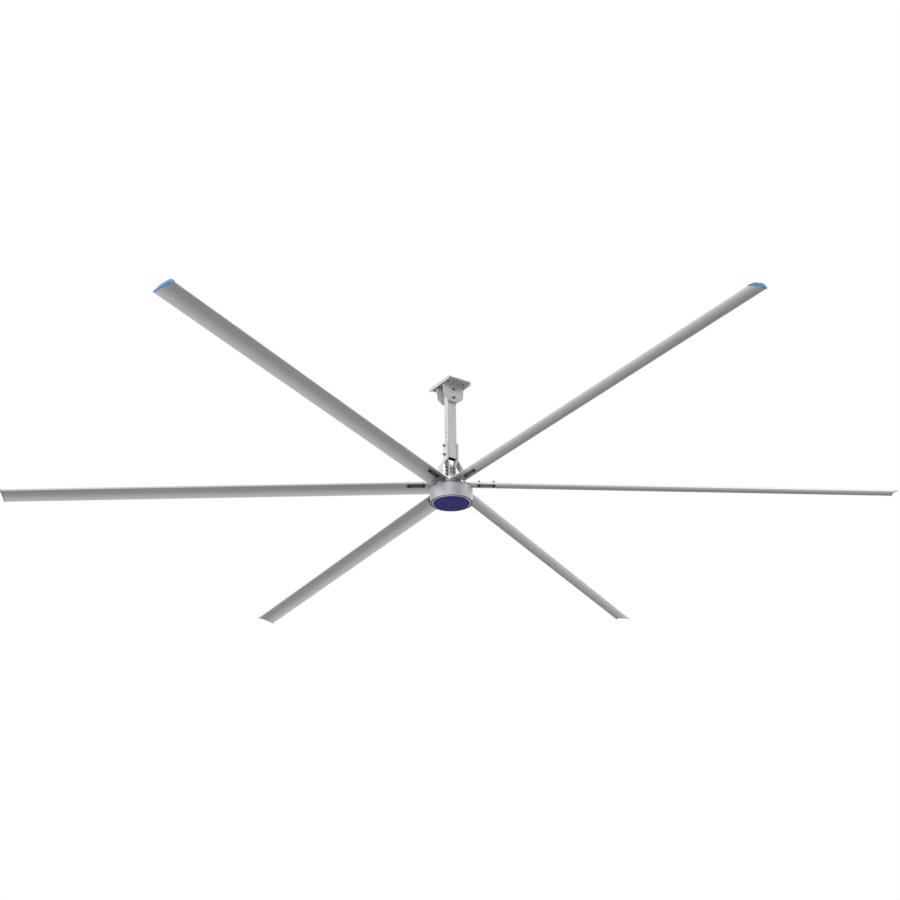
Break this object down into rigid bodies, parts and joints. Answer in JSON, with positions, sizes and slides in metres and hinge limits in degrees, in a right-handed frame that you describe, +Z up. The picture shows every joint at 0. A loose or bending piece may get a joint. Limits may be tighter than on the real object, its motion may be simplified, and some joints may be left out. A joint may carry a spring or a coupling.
{
  "type": "ceiling fan",
  "caption": "Large gearless ceiling fan: long hollow aerofoil blades on an outer-rotor motor drum, hung on a rectangular drop tube from a bolted ceiling plate with guy-wire lugs.",
  "frame": {"origin": "centre of the ceiling plate's top face, on the motor's axis", "axes": "+Z up along the rotor's axis; X along the ceiling plate's short side and the tube's wide side, Y along its long side"},
  "size_m": [6.5498, 7.298, 1.096],
  "materials": {
    "frame_steel": "zinc-grey, satin",
    "zinc_fasteners": "zinc plated",
    "black_fasteners": "black oxide",
    "black_strip": "black, satin",
    "shaft_steel": "turned",
    "bearing_steel": "ground",
    "cage_brass": "machined",
    "inner_aluminium": "cast",
    "lamination_steel": "laminated",
    "copper_winding": "enamelled wire",
    "magnet": "coated",
    "bell_silver": "painted silver, satin",
    "cover_dark": "painted, satin",
    "seal_rubber": "matte",
    "ring_pale": "satin",
    "disc_navy": "satin",
    "blade_aluminium": "anodised, satin",
    "arm_aluminium": "extruded",
    "cap_blue": "satin"
  },
  "bodies": {
    "mount": {"ceiling_plate": "frame_steel", "yoke_cheek_front": "frame_steel", "yoke_cheek_back": "frame_steel", "drop_tube": "frame_steel", "spacer_bushes": "zinc_fasteners", "yoke_bolts": "zinc_fasteners", "guy_lug_left": "frame_steel", "guy_lug_right": "frame_steel", "yoke_bracket_left": "frame_steel", "yoke_bracket_right": "frame_steel", "tube_bolts": "zinc_fasteners", "neck_bolts": "zinc_fasteners", "flange_bolts": "zinc_fasteners", "frame_nuts": "zinc_fasteners", "frame_washers": "zinc_fasteners", "motor_shaft": "shaft_steel", "stator_hub": "inner_aluminium", "stator_core": "lamination_steel", "stator_coils": "copper_winding", "upper_bearing_inner": "bearing_steel", "lower_bearing_inner": "bearing_steel", "shaft_nut": "shaft_steel"},
    "rotor": {"rotor_bell": "bell_silver", "back_iron_ring": "lamination_steel", "rotor_magnets": "magnet", "bottom_cover": "cover_dark", "upper_bearing_outer": "bearing_steel", "lower_bearing_outer": "bearing_steel", "shaft_seal": "seal_rubber", "nose_ring": "ring_pale", "nose_disc": "disc_navy", "cover_screws": "zinc_fasteners", "arm_screws": "black_fasteners", "blade_bolts": "black_fasteners", "blade_nuts": "black_fasteners", "blade_washers": "black_fasteners", "clamp_strips": "black_strip", "blade_arm_1": "arm_aluminium", "blade_arm_2": "arm_aluminium", "blade_arm_3": "arm_aluminium", "blade_arm_4": "arm_aluminium", "blade_arm_5": "arm_aluminium", "blade_arm_6": "arm_aluminium", "blade_1": "blade_aluminium", "blade_2": "blade_aluminium", "blade_3": "blade_aluminium", "blade_4": "blade_aluminium", "blade_5": "blade_aluminium", "blade_6": "blade_aluminium", "tip_cap_1": "cap_blue", "tip_cap_2": "cap_blue", "tip_cap_3": "cap_blue", "tip_cap_4": "cap_blue", "tip_cap_5": "cap_blue", "tip_cap_6": "cap_blue"},
    "upper_cage": {"upper_bearing_cage": "cage_brass", "upper_bearing_balls": "bearing_steel"},
    "lower_cage": {"lower_bearing_cage": "cage_brass", "lower_bearing_balls": "bearing_steel"}
  },
  "joints": [
    {"name": "rotor_spin", "type": "hinge", "parent": "mount", "child": "rotor", "pos_m": [0, 0, -0.95], "axis": [0, 0, 1], "continuous": true},
    {"name": "upper_cage_spin", "type": "hinge", "parent": "mount", "child": "upper_cage", "pos_m": [0, 0, -0.8865], "axis": [0, 0, 1], "continuous": true},
    {"name": "lower_cage_spin", "type": "hinge", "parent": "mount", "child": "lower_cage", "pos_m": [0, 0, -1.058], "axis": [0, 0, 1], "continuous": true}
  ],
  "couplings": [
    {"joint": "upper_cage_spin", "follows": "rotor_spin", "ratio": 0.5977},
    {"joint": "lower_cage_spin", "follows": "rotor_spin", "ratio": 0.6}
  ]
}
